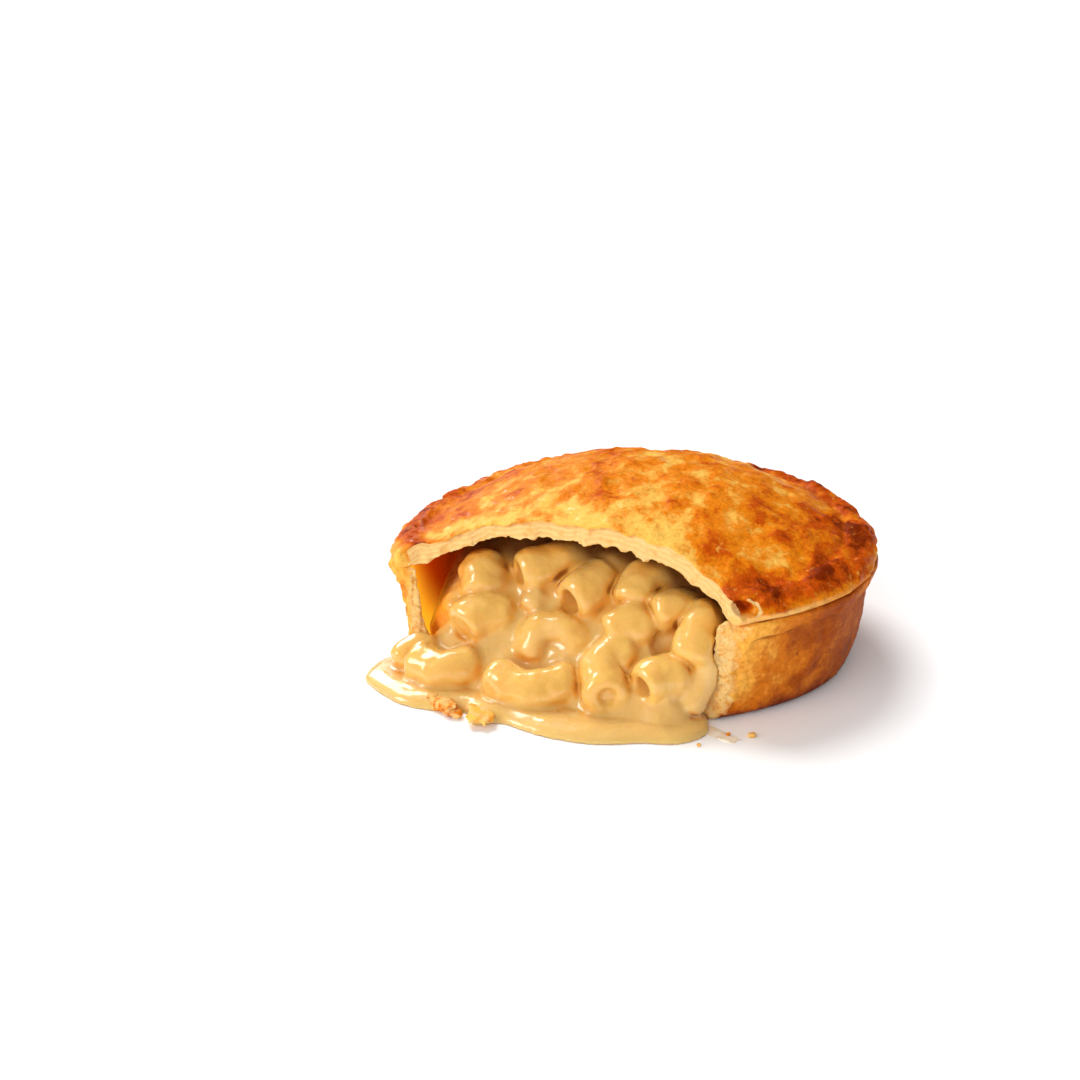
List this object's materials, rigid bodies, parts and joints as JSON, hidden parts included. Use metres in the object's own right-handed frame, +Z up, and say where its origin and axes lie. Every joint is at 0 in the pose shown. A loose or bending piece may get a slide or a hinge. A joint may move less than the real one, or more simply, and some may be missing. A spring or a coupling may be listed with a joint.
{
  "type": "macaroni cheese pie",
  "caption": "Round golden pastry pie with a domed flaky lid, cut open at the front so that macaroni in cheese sauce slides out into a pool.",
  "frame": {"origin": "centre of the pie's round flat base, on its underside", "axes": "+Z up through the lid; the cut and the spilled filling face -Y"},
  "size_m": [0.1073, 0.1114, 0.0416],
  "materials": {
    "case_pastry": "baked shortcrust, dry and finely blistered",
    "baked_pastry": "egg-washed puff pastry, golden with browned patches, soft gloss",
    "cheese_sauce": "wet glossy cheese sauce over pasta"
  },
  "bodies": {
    "root": {"pastry_case": "case_pastry", "pastry_lid": "baked_pastry", "macaroni_cheese": "cheese_sauce"}
  },
  "joints": []
}
